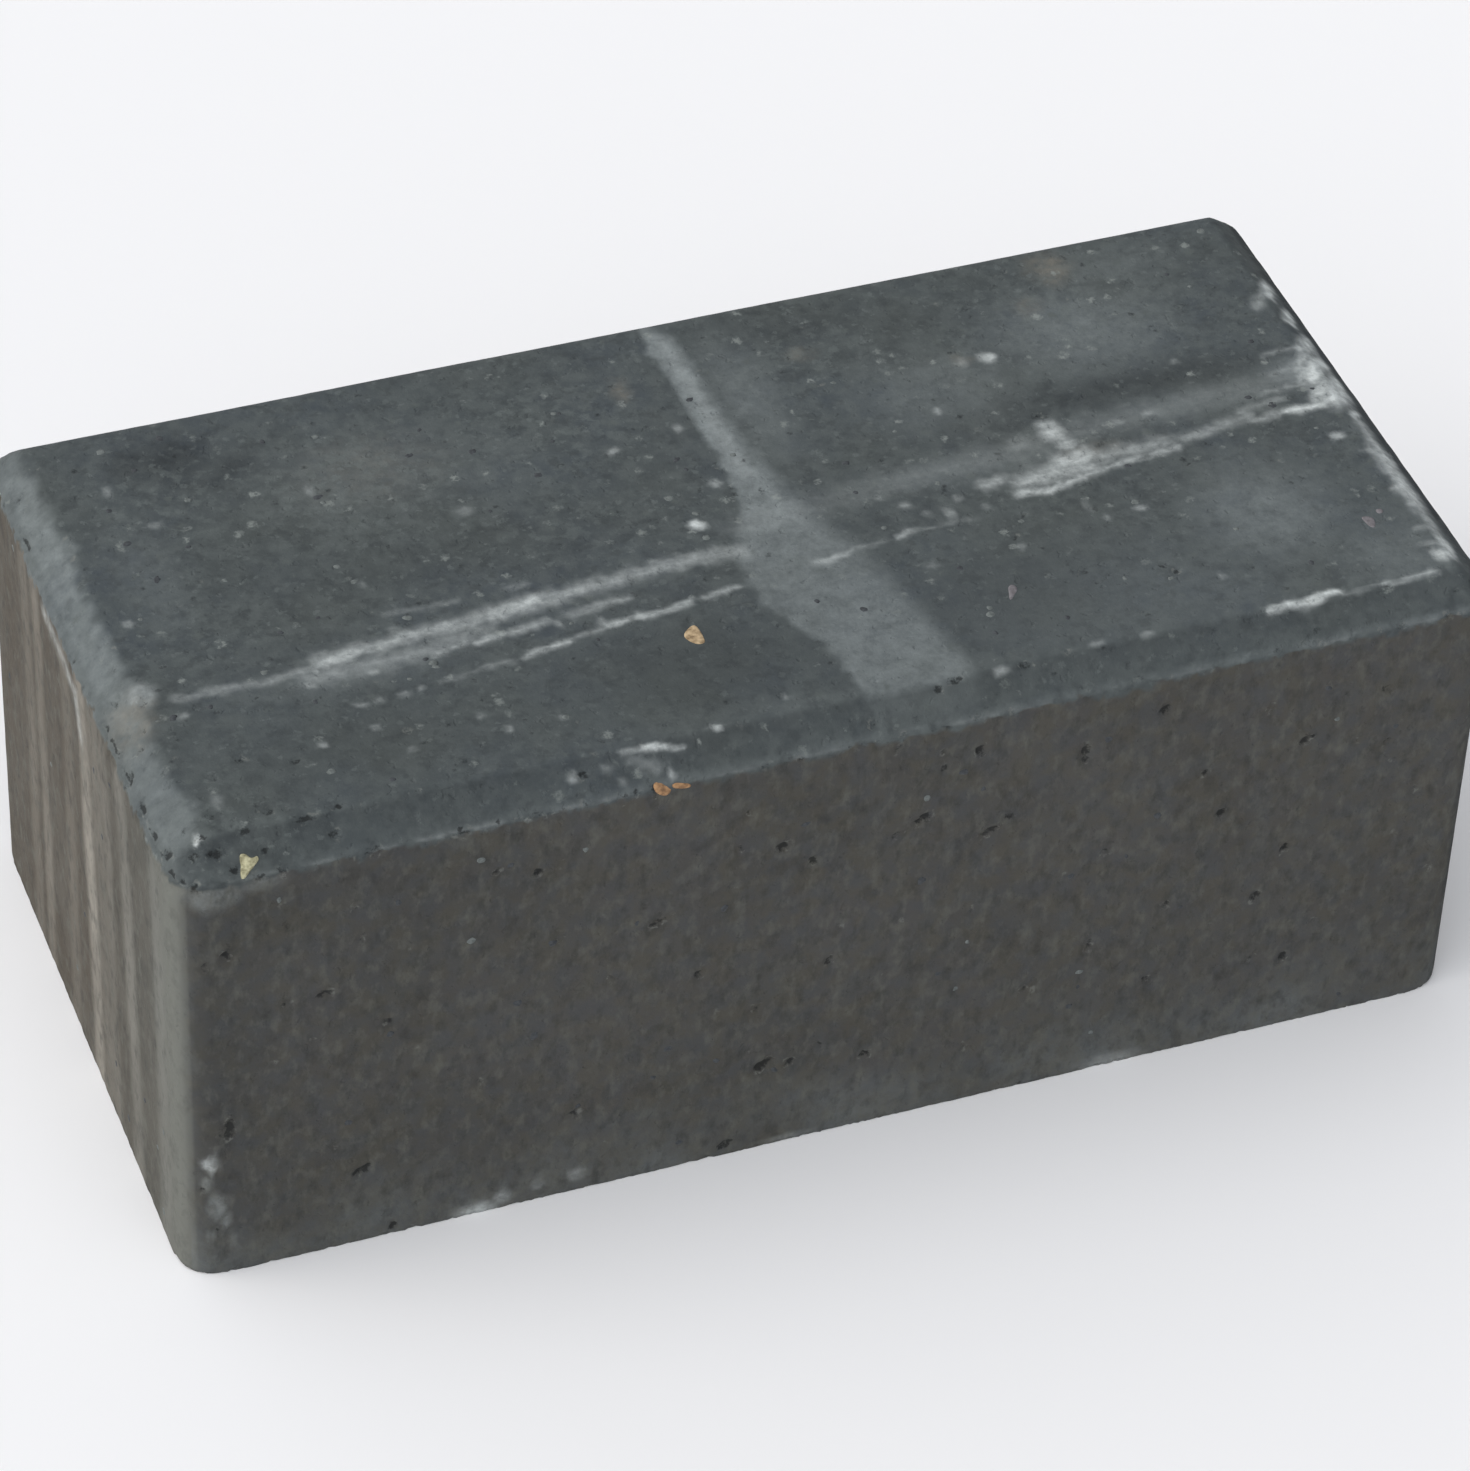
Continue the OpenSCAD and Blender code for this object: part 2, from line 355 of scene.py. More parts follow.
def pick(piece, kind, test):
    """Opens a piece for editing, with the faces or edges selected whose vertex places pass a test."""
    bpy.ops.object.mode_set(mode="EDIT")
    bpy.ops.mesh.select_mode(type="FACE" if kind == "polygons" else "EDGE")
    bpy.ops.object.mode_set(mode="OBJECT")
    mesh = piece.data
    for group in (mesh.vertices, mesh.edges, mesh.polygons):
        group.foreach_set("select", [False] * len(group))
    for item in getattr(mesh, kind):
        item.select = test([mesh.vertices[i].co / MM for i in item.vertices])
    bpy.ops.object.mode_set(mode="EDIT")


def apply_modifier(piece, kind, **settings):
    """Adds one modifier with its settings and applies it."""
    modifier = piece.modifiers.new(kind.lower(), kind)
    for name, value in settings.items():
        setattr(modifier, name, value)
    bpy.ops.object.modifier_apply(modifier=modifier.name)


# ---------------------------------------------------------------- the block

def shape_block():
    """The plain form: rounded upright corners, a swept chamfer round the top and worn arrises."""
    select_only()
    bpy.ops.mesh.primitive_cube_add(size=1, location=(0, 0, SHOULDER / 2 * MM))
    piece = bpy.context.object
    piece.name = "pressed_block"
    piece.scale = (2 * HALF_LENGTH * MM, 2 * HALF_DEPTH * MM, SHOULDER * MM)
    bpy.ops.object.transform_apply(location=True, rotation=True, scale=True)

    pick(piece, "edges", lambda ends: abs(ends[0].z - ends[1].z) > SHOULDER / 2)
    bpy.ops.mesh.bevel(offset=CORNER_RADIUS * MM, segments=10, affect="EDGES")
    pick(piece, "polygons", lambda corners: min(c.z for c in corners) > SHOULDER - 0.1)
    bpy.ops.mesh.inset(thickness=CHAMFER_INSET * MM, depth=0)
    bpy.ops.transform.translate(value=(0, 0, CHAMFER_DROP * MM))
    pick(piece, "edges", lambda ends: abs(ends[0].z - ends[1].z) < 0.1 and ends[0].z > SHOULDER - 0.1)
    bpy.ops.mesh.bevel(offset=ARRIS_WEAR / 2 * MM, segments=2, affect="EDGES", clamp_overlap=True)
    bpy.ops.object.mode_set(mode="OBJECT")
    apply_modifier(piece, "REMESH", mode="VOXEL", voxel_size=MESH_STEP * MM)
    return piece


def read_vectors(group, field):
    """A field of a mesh's points as an array, three numbers to a row."""
    values = np.empty(len(group) * 3)
    group.foreach_get(field, values)
    return values.reshape(-1, 3)


def arris_wear(x, y, z):
    """How much each arris has crumbled: most along the front and round the near left corner."""
    side = np.minimum(HALF_LENGTH - np.abs(x), HALF_DEPTH - np.abs(y))
    upper = fade(np.hypot(side - CHAMFER_INSET, z - HEIGHT) / 3.0)
    past_x = np.clip(np.abs(x) - HALF_LENGTH + CORNER_RADIUS, 0, None)
    past_y = np.clip(np.abs(y) - HALF_DEPTH + CORNER_RADIUS, 0, None)
    side = CORNER_RADIUS - np.hypot(past_x, past_y)
    lower = fade(np.hypot(side, z - SHOULDER) / 2.6)
    bed = fade(np.hypot(side, z) / 2.2)
    front = fade((y + HALF_DEPTH) / 16)
    left = fade((x + HALF_LENGTH) / 16) * (0.25 + 0.75 * fade((y + HALF_DEPTH) / 90))
    strength = np.maximum(np.maximum(front, left), 0.28)
    strength = strength * (1 - 0.75 * fade((HALF_LENGTH - x) / 14))
    return np.maximum(np.maximum(0.45 * upper, lower) * strength, 0.20 * bed)


def end_band_heights(y, z, bands, seed):
    """Upright drag bands on an end face, which lean and wander a little on their way down."""
    down = np.clip(1 - z / SHOULDER, 0, 1)
    wander = 0.5 * np.sin(z / 17 + seed) + 0.25 * np.sin(z / 6 + 2 * seed)
    raised = np.zeros(len(y))
    for top_place, foot_place, half_width, strength in bands:
        half_width = 1.15 * half_width
        middle = top_place + (foot_place - top_place) * down + wander + 0.4 * np.sin(z / 9 + top_place)
        uneven = 0.86 + 0.14 * np.sin(z / 13 + foot_place)
        profile = fade(np.clip(1.3 * np.abs(y - middle) / half_width - 0.3, 0, 1))
        raised = np.maximum(raised, strength * uneven * profile)
    return raised


def crown_height(x, y):
    """How high the top face or its chamfer stands at a place."""
    out = max(abs(x) - HALF_LENGTH + CHAMFER_INSET, abs(y) - HALF_DEPTH + CHAMFER_INSET, 0)
    return HEIGHT - out * CHAMFER_DROP / CHAMFER_INSET


def sink_hollow(plain, hollow, ragged, centre, half_sizes, deep, lean=0.0):
    """Sinks one dimple with steep, ragged sides round a place on the skin. lean tilts it up towards +X."""
    offset = plain - centre
    near = np.flatnonzero((np.abs(offset) < 2 * max(half_sizes[0], half_sizes[2])).all(axis=1))
    offset = offset[near]
    offset[:, 2] -= lean * offset[:, 0]
    reach = np.sqrt(((offset / half_sizes) ** 2).sum(axis=1)) * (1 + 0.3 * ragged[near])
    hollow[near] = np.maximum(hollow[near], deep * fade(np.clip(1.4 * reach - 0.4, 0, 1)))


def sink_pits(plain, hollow, ragged):
    """The pits that show, then the small air holes between the grit, then bites out of the arrises."""
    through = 4.0

    def sink(centre, half_sizes, deep, lean=0.0):
        sink_hollow(plain, hollow, ragged, centre, half_sizes, deep, lean)

    for x, z, wide, tall, deep in FRONT_PITS:
        lean = PIT_LEAN if wide > tall else 0.0
        sink((x, -HALF_DEPTH, z), (wide, through, tall), deep, lean)
        # The back is out of view, and it is taken to be as pitted as the front.
        sink((18 - x, HALF_DEPTH, SHOULDER - 0.9 * z), (wide, through, tall), deep, lean)
    for x, y, wide, broad, deep in CROWN_PITS:
        sink((x, y, crown_height(x, y)), (wide, broad, through), deep)

    rng = random.Random(SEED)
    length, width, tall = HALF_LENGTH - 6, HALF_DEPTH - 6, SHOULDER - 4
    for _ in range(90):
        size = rng.uniform(1.1, 1.7)
        centre = (rng.uniform(-length, length), rng.uniform(-width, width), HEIGHT)
        sink(centre, (size, size * rng.uniform(0.7, 1.3), through), rng.uniform(0.2, 0.5))
    for facing, count in ((-1, 80), (1, 130)):
        for _ in range(count):
            size = rng.uniform(1.1, 1.8)
            centre = (rng.uniform(-length, length), facing * HALF_DEPTH, rng.uniform(4, tall))
            sink(centre, (size, through, size * rng.uniform(0.8, 1.8)), rng.uniform(0.25, 0.7))
    for facing, count in ((-1, 8), (1, 34)):
        for _ in range(count):
            size = rng.uniform(1.1, 1.8)
            centre = (facing * HALF_LENGTH, rng.uniform(-width, width), rng.uniform(4, tall))
            sink(centre, (through, size, size * rng.uniform(0.8, 1.7)), rng.uniform(0.2, 0.5))

    def bite_along(start, end, count, smallest, largest):
        start, end = np.array(start), np.array(end)
        for _ in range(count):
            centre = start + (end - start) * rng.random()
            size = rng.uniform(smallest, largest)
            across, broad, up = (size * rng.uniform(0.7, 1.7) for _ in range(3))
            sink(centre, (across, broad, up), 0.32 * size)

    x, y = HALF_LENGTH - CORNER_RADIUS, HALF_DEPTH - CORNER_RADIUS
    inner_x, inner_y = HALF_LENGTH - CHAMFER_INSET, HALF_DEPTH - CHAMFER_INSET
    bite_along((-x, -HALF_DEPTH, SHOULDER), (x, -HALF_DEPTH, SHOULDER), 60, 1.0, 1.9)
    bite_along((-x, -HALF_DEPTH, SHOULDER), (-x / 3, -HALF_DEPTH, SHOULDER), 24, 1.1, 2.2)
    bite_along((-x, -inner_y, HEIGHT), (x, -inner_y, HEIGHT), 30, 1.0, 1.6)
    bite_along((-HALF_LENGTH, -y, SHOULDER), (-HALF_LENGTH, -y / 3, SHOULDER), 26, 1.1, 2.2)
    bite_along((-HALF_LENGTH, -y / 3, SHOULDER), (-HALF_LENGTH, y, SHOULDER), 10, 1.0, 1.6)
    bite_along((-inner_x, -y, HEIGHT), (-inner_x, y, HEIGHT), 16, 1.0, 1.7)
    bite_along((-x, HALF_DEPTH, SHOULDER), (x, HALF_DEPTH, SHOULDER), 50, 1.0, 1.9)
    bite_along((-x, inner_y, HEIGHT), (x, inner_y, HEIGHT), 20, 1.0, 1.5)
    bite_along((-x, -HALF_DEPTH, 0), (x, -HALF_DEPTH, 0), 22, 1.0, 1.6)
    bite_along((-x, HALF_DEPTH, 0), (x, HALF_DEPTH, 0), 22, 1.0, 1.6)


def sink_relief(piece):
    """Presses every kind of relief into the faces, always inwards, and returns the plain places."""
    mesh = piece.data
    plain, normals = read_vectors(mesh.vertices, "co") / MM, read_vectors(mesh.vertex_normals, "vector")
    # The points are shuffled a little along the faces, so that no row of them shows.
    shuffle = np.random.default_rng(SEED).uniform(-0.28, 0.28, plain.shape)
    plain = plain + (np.abs(normals) < 0.02) * shuffle
    # The remesh leaves the upright corners stepped at the foot, so they are made round again.
    corner_middle = [HALF_LENGTH - CORNER_RADIUS, HALF_DEPTH - CORNER_RADIUS]
    past = np.clip(np.abs(plain[:, :2]) - corner_middle, 0, None)
    reach = np.hypot(past[:, 0], past[:, 1])
    wanted = CORNER_RADIUS - 0.6 * np.clip(1 - plain[:, 2] / 0.6, 0, 1)
    stepped = (past.min(axis=1) > 0) & (reach > CORNER_RADIUS - 1.45) & (plain[:, 2] < SHOULDER - 1)
    plain[:, :2] += np.sign(plain[:, :2]) * past * (stepped * (wanted / np.maximum(reach, 1) - 1))[:, None]
    x, y, z = plain.T
    on_left = normals[:, 0] < -0.8
    on_right = normals[:, 0] > 0.8
    on_bed = normals[:, 2] < -0.9
    upright = np.abs(normals[:, 2]) < 0.3

    ends = np.clip((np.abs(normals[:, 0]) - 0.5) / 0.4, 0, 1)
    depth = SKIN_DEPTH + (END_SKIN_DEPTH - SKIN_DEPTH) * ends
    depth += 0.05 * (1 - ends) * (1 + waves(x, y + z, 55, SEED))
    depth += 0.02 * (1 + waves(x, y + z, 5, SEED + 9))
    crumble = 0.4 + 0.5 * waves(x + z, y - z, 7, SEED + 1) + 0.5 * waves(x, y + z, 3.2, SEED + 2)
    crumble = np.clip(crumble, 0, 1.6)
    depth += 0.8 * arris_wear(x, y, z) * crumble
    # The lower left corner of the top face is the most worn.
    worst = fade(np.hypot(x + HALF_LENGTH - 4, y + HALF_DEPTH - 4) / 20)
    depth += 0.7 * worst * crumble * (z > SHOULDER - 5)
    # Drag bands on both ends stand out of a slightly hollow face.
    for on_end, bands, seed in ((on_left, LEFT_END_BANDS, 1), (on_right, RIGHT_END_BANDS, 4)):
        depth += on_end * BAND_RELIEF * (1 - end_band_heights(y, z, bands, seed))
    # Fine upright drag on the long faces.
    long_face = upright & ~on_left & ~on_right
    depth += long_face * 0.05 * (1 + waves(x, 0.08 * z, 2.6, SEED + 3))
    hollow = np.zeros(len(x))
    sink_pits(plain, hollow, waves(x + z, y - z, 1.8, SEED + 20))
    depth = np.where(hollow > 0, np.maximum(depth, SKIN_DEPTH + hollow), depth)

    depth[on_bed] = 0
    moved = plain - normals * depth[:, None]
    limit = np.array([HALF_LENGTH, HALF_DEPTH, HEIGHT])
    moved = np.clip(moved, [-HALF_LENGTH, -HALF_DEPTH, 0], limit)
    mesh.vertices.foreach_set("co", (moved * MM).ravel())
    mesh.update()
    return plain, normals, hollow


def store(mesh, name, values):
    """Keeps one number for each point of the mesh, for the material to read."""
    mark = mesh.attributes.new(name, "FLOAT", "POINT")
    mark.data.foreach_set("value", np.clip(values, 0, 1).astype(np.float32))


def lay_chalk_and_highlight(x, y, z, normals, upper):
    """Where lime lies, and how thickly, with the painted highlights along the front arris."""
    loose_x = x + 0.4 * waves(x, y, 8, SEED + 5) + 0.4 * waves(x, y, 3, SEED + 12)
    loose_y = y + 0.4 * waves(x, y, 8, SEED + 6) + 0.3 * waves(x, y, 3, SEED + 13)
    uneven = 1 + 0.28 * waves(x, y, 3.6, SEED + 21)
    chalk_and_highlight = patches(loose_x, loose_y, CHALK_PATCHES, 0.25)
    for points, reach, strength in CHALK_STREAKS:
        chalk_and_highlight = np.maximum(chalk_and_highlight, strength * stroke(loose_x, loose_y, points, reach * uneven))
    # Lime is kept off the outermost strip of the right edge, where painted shade lies.
    chalk_and_highlight *= upper * (1 - 0.9 * np.clip((x - HALF_LENGTH + 3.4) / 1.4, 0, 1))

    on_front = (normals[:, 1] < -0.8) | ((y < -HALF_DEPTH + 6) & (z < SHOULDER))
    chalk_and_highlight = np.maximum(chalk_and_highlight, on_front * patches(x, z, FRONT_SCUFFS))
    # The pale lips are partly wear and partly a painted highlight along the arris.
    near_lip = fade(np.hypot(y + HALF_DEPTH, z - SHOULDER) / 1.6)
    for start, end, strength in FRONT_LIPS:
        within = fade(np.maximum(start - x, x - end) / 3)
        chalk_and_highlight = np.maximum(chalk_and_highlight, strength * near_lip * within)

    points, half_width, strength = LEFT_END_SCRAPE
    on_left = normals[:, 0] < -0.5
    return np.maximum(chalk_and_highlight, on_left * strength * stroke(y, z, points, half_width))


def lay_dust_and_painted_light(x, y, z, upper):
    """Pale dust and painted light: the cross band, the hazes and the left chamfer; a painted highlight on
    the rubbed outer edge of the front chamfer; and a little painted bounce light from the floor along the
    front's foot.
    """
    loose_x = x + 0.6 * waves(x, y, 9, SEED + 5) + 0.3 * waves(x, y, 3, SEED + 14)
    places = [row[0] for row in DUST_BAND]
    left_edge, right_edge, strength = (
        np.interp(y, places, [row[i] for row in DUST_BAND]) for i in (1, 2, 3))
    soft_left = np.interp(y, [-30, -15, 0], [2.0, 6.0, 1.8])
    soft_right = np.interp(y, [-75, -40, 0, 60], [5.0, 9.0, 8.0, 4.0])
    inside = fade((left_edge - loose_x) / soft_left)
    inside *= fade((loose_x - right_edge + soft_right / 2) / soft_right)
    slope = np.clip(np.maximum(np.abs(x) - HALF_LENGTH, np.abs(y) - HALF_DEPTH) + CHAMFER_INSET, 0, 1)
    dust_and_painted_light = np.maximum(strength * inside, patches(loose_x, y, HAZES) * (1 - 0.7 * slope))
    # The left chamfer is limed all over, and its inner rim is scalloped.
    along = y + 0.8 * waves(y, z, 5, SEED + 19)
    places = [row[0] for row in LEFT_RIM]
    reach, rim_strength = (np.interp(along, places, [row[i] for row in LEFT_RIM]) for i in (1, 2))
    inner = reach - (x + HALF_LENGTH) + 0.9 * waves(x, y, 6, SEED + 7)
    chamfer = rim_strength * (0.82 + 0.18 * waves(x, y, 4, SEED + 16))
    chamfer *= fade(np.clip(0.5 - inner / 3.0, 0, 1))
    chamfer *= 1 - 0.4 * np.clip(2.4 - HALF_LENGTH - x, 0, 1)
    # The outer edge of the front chamfer is rubbed pale, and the pale strip is partly a painted highlight
    # along the arris.
    rubbed_edge_highlight = fade(np.hypot(y + HALF_DEPTH - 0.6, z - SHOULDER - 0.5) / 2.0)
    rubbed_edge_highlight *= np.interp(x, [-100, -40, 140], [0.10, 0.30, 0.38]) * (0.8 + 0.3 * waves(x, y, 6, SEED + 23))
    dust_and_painted_light = np.maximum(np.maximum(dust_and_painted_light, chamfer), rubbed_edge_highlight) * upper
    # Painted light: the foot of the front face is lightened, as by light thrown up from the floor.
    foot_bounce_light = 0.36 * fade(z / 26) * (y < -HALF_DEPTH + 3) * (0.6 + 0.4 * waves(x, z, 30, SEED + 17))
    grazes = patches(x, z, FRONT_GRAZES, 0.3) * (y < -HALF_DEPTH + 4) * (1 - upper)
    return np.maximum(np.maximum(dust_and_painted_light, foot_bounce_light), grazes)


def mark_surface(mesh, plain, normals, hollow):
    """Works out where lime, dust, damp and clay lie, and where shade, highlights and bounce light are
    painted.
    """
    x, y, z = plain.T
    upper = z > SHOULDER - 1.2 + 0.9 * waves(x, y, 3.5, SEED + 8) + 0.7 * waves(x, y, 13, SEED + 18)
    loose_x = x + 1.2 * waves(x, y, 9, SEED + 5)
    loose_y = y + 1.2 * waves(x, y, 9, SEED + 6)
    store(mesh, "chalk_and_highlight", lay_chalk_and_highlight(x, y, z, normals, upper))
    store(mesh, "dust_and_painted_light", lay_dust_and_painted_light(x, y, z, upper))
    # Painted shade on everything within 4 mm of the right end, as turned away from the light: full on the
    # chamfer's outer strip and the rounded corners, weaker on the right end face.
    right_rim_shade = np.clip((x - HALF_LENGTH + 4) / 1.6, 0, 1) * (1 - 0.6 * (normals[:, 0] > 0.9))
    # Painted shade: the front chamfer is darker than the top face, most of all next to its inner edge.
    inward = y + HALF_DEPTH
    shade = 0.46 * np.interp(inward, [1.2, 4.5, 6.6, 7.4, 8.0], [0.1, 0.55, 0.9, 1.0, 0.0])
    # The front face is darker next to the near left corner.
    from_corner = x + HALF_LENGTH - 9
    beside_corner = np.maximum(0.30 * fade(from_corner / 24), 0.15 * fade(from_corner / 120))
    beside_corner *= (y < -HALF_DEPTH + 2) & (z < SHOULDER)
    damp_and_shade = np.maximum(np.maximum(patches(loose_x, loose_y, SMUDGES), shade) * upper, beside_corner)
    store(mesh, "damp_and_shade", np.maximum(damp_and_shade, right_rim_shade))
    grazes = patches(x, z, FRONT_GRAZES, 0.3) * (y < -HALF_DEPTH + 4)
    store(mesh, "buff", np.where(upper, patches(loose_x, loose_y, BUFF_STAINS), 0.3 * grazes))
    closed, opened = patches(loose_x, loose_y, CLOSE_SKINS), patches(loose_x, loose_y, OPEN_SKINS)
    store(mesh, "sandy", 0.5 - 0.5 * closed + 0.5 * opened)
    left = end_band_heights(y, z, LEFT_END_BANDS, 1) * (normals[:, 0] < -0.5)
    right = end_band_heights(y, z, RIGHT_END_BANDS, 4) * (normals[:, 0] > 0.5)
    store(mesh, "drag", np.maximum(left, right) * (z < SHOULDER))
    # The end faces keep a thin skin of cement, which runs a little way round the corners.
    store(mesh, "skin", fade(np.clip((0.92 - np.abs(normals[:, 0])) / 0.46, 0, 1)) * (z < SHOULDER + 0.5))
    corner = fade((y + HALF_DEPTH) / 23) * np.clip((-normals[:, 0] - 0.2) / 0.3, 0, 1)
    store(mesh, "corner", corner * (z < SHOULDER))
    store(mesh, "pit", (hollow - 0.30) / 0.6 * (np.abs(normals[:, 0]) < 0.8))
    store(mesh, "crown", upper)


def thin_out(piece):
    """Cuts the faces into triangles, and uses fewer where they are flat. The rims stay as they are."""
    mesh = piece.data
    margin = 4
    regions = (
        (lambda p, n: True, None),
        (lambda p, n: n.z < -0.9 and abs(p.x) < HALF_LENGTH - margin
         and abs(p.y) < HALF_DEPTH - margin, 0.01),
        (lambda p, n: n.y > 0.97 and margin < p.z < SHOULDER - margin, 0.24),
        (lambda p, n: n.x > 0.97 and margin < p.z < SHOULDER - margin, 0.24),
        (lambda p, n: n.y < -0.97 and margin < p.z < SHOULDER - margin, 0.46),
        (lambda p, n: n.x < -0.97 and margin < p.z < SHOULDER - margin, 0.40),
    )
    for test, ratio in regions:
        select_only(piece)
        chosen = [test(face.center / MM, face.normal) for face in mesh.polygons]
        mesh.vertices.foreach_set("select", [False] * len(mesh.vertices))
        mesh.edges.foreach_set("select", [False] * len(mesh.edges))
        mesh.polygons.foreach_set("select", chosen)
        bpy.ops.object.mode_set(mode="EDIT")
        bpy.ops.mesh.select_mode(type="FACE")
        if ratio is None:
            bpy.ops.mesh.quads_convert_to_tris(quad_method="BEAUTY", ngon_method="BEAUTY")
        else:
            bpy.ops.mesh.decimate(ratio=ratio)
        bpy.ops.object.mode_set(mode="OBJECT")
    keep_inside(mesh)


def keep_inside(mesh):
    """Holds every point of a mesh within the solid's own box."""
    held = np.clip(read_vectors(mesh.vertices, "co"), np.array(low) + 1e-6, np.array(high) - 1e-6)
    mesh.vertices.foreach_set("co", held.ravel())
    mesh.update()


# ---------------------------------------------------------------- materials

def add_node(tree, kind, inputs=(), output=0, **settings):
    """Adds one node and gives one output. An input given as a socket is linked, and any other is set."""
    node = tree.nodes.new("ShaderNode" + kind)
    for name, value in settings.items():
        setattr(node, name, value)
    for name, value in inputs.items() if isinstance(inputs, dict) else enumerate(inputs):
        if isinstance(value, bpy.types.NodeSocket):
            tree.links.new(value, node.inputs[name])
        else:
            node.inputs[name].default_value = value
    return node.outputs[output]


def pressed_concrete():
    """Earth-moist concrete, coloured anthracite with iron oxide and pressed in a steel mould.
    It is matt and close-grained, with sand showing, drier and bluer on the crown than on the sides."""
    material, tree, shader = new_material("pressed_concrete")
    per_mm = 1 / MM  # a noise scale of per_mm / s has features s millimetres across
    place = add_node(tree, "TexCoord", output="Object")
    # Places pushed about by up to a millimetre, which makes the grains broken and not round.
    swirl = add_node(tree, "TexNoise", {
        "Vector": place, "Scale": per_mm / 1.6, "Detail": 3.0, "Roughness": 0.7}, "Color")
    push = (3.2 * MM, 3.2 * MM, 3.2 * MM)
    jittered = add_node(tree, "VectorMath", (swirl, push, place), operation="MULTIPLY_ADD")
    # The mould has drawn the sand of the sides out upright, and lime runs with the rub.
    upright = (1, 1, 0.6)
    rub = {"Rotation": (0, 0, math.radians(-6)), "Scale": (0.12, 1.0, 1.0)}

    # All that the layers of colour are masked by, under the names that they use: first the marks.
    masks = {}
    for name in ("chalk_and_highlight", "dust_and_painted_light", "damp_and_shade", "buff", "sandy", "drag", "skin", "corner", "pit", "crown"):
        masks[name] = add_node(tree, "Attribute", output="Fac", attribute_name=name)
    # Noise: feature size in millimetres, detail, roughness and where it is read, then the range that
    # is spread over 0 to 1, or over two more numbers. The finest sand wouldn't show, so it is drawn
    # 1 to 1.5 mm across.
    for name, size, detail, rough, where, *spread in (
            ("cloud", 38, 3, 0.55, place, 0.35, 0.65),
            ("smoke", 17, 3, 0.65, {"Location": (0.11, 0.07, 0.05)}, 0.34, 0.66),
            ("smear", 7, 3, 0.7, place, 0.34, 0.66),
            ("olive", 6, 3, 0.6, {"Location": (0.07, 0.21, 0.03)}, 0.42, 0.60),
            ("slate", 6, 3, 0.6, {"Location": (0.23, 0.02, 0.17)}, 0.44, 0.62),
            ("mottle", 4.2, 3, 0.6, {"Location": (0.05, 0.13, 0.19)}, 0.42, 0.62),
            ("shadow", 3.4, 3, 0.6, {"Location": (0.19, 0.05, 0.13)}, 0.52, 0.66),
            ("cement", 16, 3, 0.55, place, 0.35, 0.65),
            ("trail", 6, 3, 0.55, place, 0.3, 0.7, 0.6, 1.0),
            ("wetness", 5, 3, 0.7, place, 0.3, 0.7, 0.48, 0.86),
            ("powder", 5, 4, 0.75, place, 0.32, 0.68, 0.40, 1.12),
            ("clay", 3, 3, 0.55, place, 0.3, 0.7, 0.15, 0.75),
            ("pale_sand", 3.4, 3, 0.62, {"Scale": upright}, 0.50, 0.76, 0.0, 0.70),
            ("dark_sand", 3.0, 3, 0.62, {"Location": (0.31, 0.17, 0.23), "Scale": upright},
             0.50, 0.76, 0.0, 0.60),
            ("fleck", 2.8, 2, 0.5, jittered, 0.54, 0.66),
            ("broken", 1.4, 2, 0.6, place, 0.38, 0.56, 0.10, 1.0),
            ("lines", 2.6, 2, 0.5, rub, 0.34, 0.66, 0.88, 1.10),
            ("crumbs", 2.4, 3, 0.7, place, 0.36, 0.64, 0.76, 1.10),
            ("glint", 2.2, 2, 0.5, place, 0.50, 0.62),
            ("tearing", 1.3, 4, 0.7, place),
            ("grain", 1.1, 4, 0.6, place),
            ("holes", 2.4, 2, 0.5, place, 0.26, 0.36, 0.0, 1.0)):
        if isinstance(where, dict):
            where = add_node(tree, "Mapping", {"Vector": place, **where})
        noise = add_node(tree, "TexNoise", {
            "Vector": where, "Scale": per_mm / size, "Detail": detail, "Roughness": rough})
        masks[name] = add_node(tree, "MapRange", (noise, *spread)) if spread else noise

    depthways = add_node(tree, "SeparateXYZ", (place,), "Y")
    swing = add_node(tree, "Math", (masks["tearing"], -0.5), operation="ADD")
    swing = add_node(tree, "Math", (swing, 3.0), operation="MULTIPLY")
    torn = add_node(tree, "Math", (masks["pit"], swing), operation="ADD")
    # Lime, and the painted highlights along the front arris, lie thick on the high grains, and thin out
    # quickly between them.
    lime_and_highlight = add_node(tree, "Math", (masks["lines"], masks["crumbs"]), operation="MULTIPLY")
    lime_and_highlight = add_node(tree, "Math", (masks["chalk_and_highlight"], lime_and_highlight), operation="MULTIPLY")
    lime_and_highlight = add_node(tree, "Math", (lime_and_highlight, 1.6), operation="POWER")
    # Readings of these: what is read, and its range as above.
    for name, reading, *spread in (
            ("clayey", depthways, -60 * MM, 0.0),
            ("open_skin", masks["sandy"], 0, 1, 0.15, 0.75),
            ("off_corner", masks["corner"], 0, 1, 1.0, 0.45),
            ("below_crown", masks["crown"], 0, 1, 1, 0),
            ("sanded", masks["sandy"], 0, 0.6, 0.35, 1.0),
            ("flecked", masks["sandy"], 0.4, 1.0, 0.0, 0.60),
            ("scarce_pale", masks["sandy"], 0, 1, 0.62, 0.18),
            ("scarce_dark", masks["sandy"], 0, 1, 0.76, 0.40),
            ("lime_and_highlight", lime_and_highlight, 0.0, 1.0, 0.0, 0.95),
            ("beside_pit", masks["pit"], 0.02, 0.15),
            ("torn_rim", torn, 0.30, 0.10),
            ("pit_shade", masks["pit"], 0.12, 0.40),
            ("torn_pit_shade", torn, 0.42, 0.84)):
        masks[name] = add_node(tree, "MapRange", (reading, *spread))
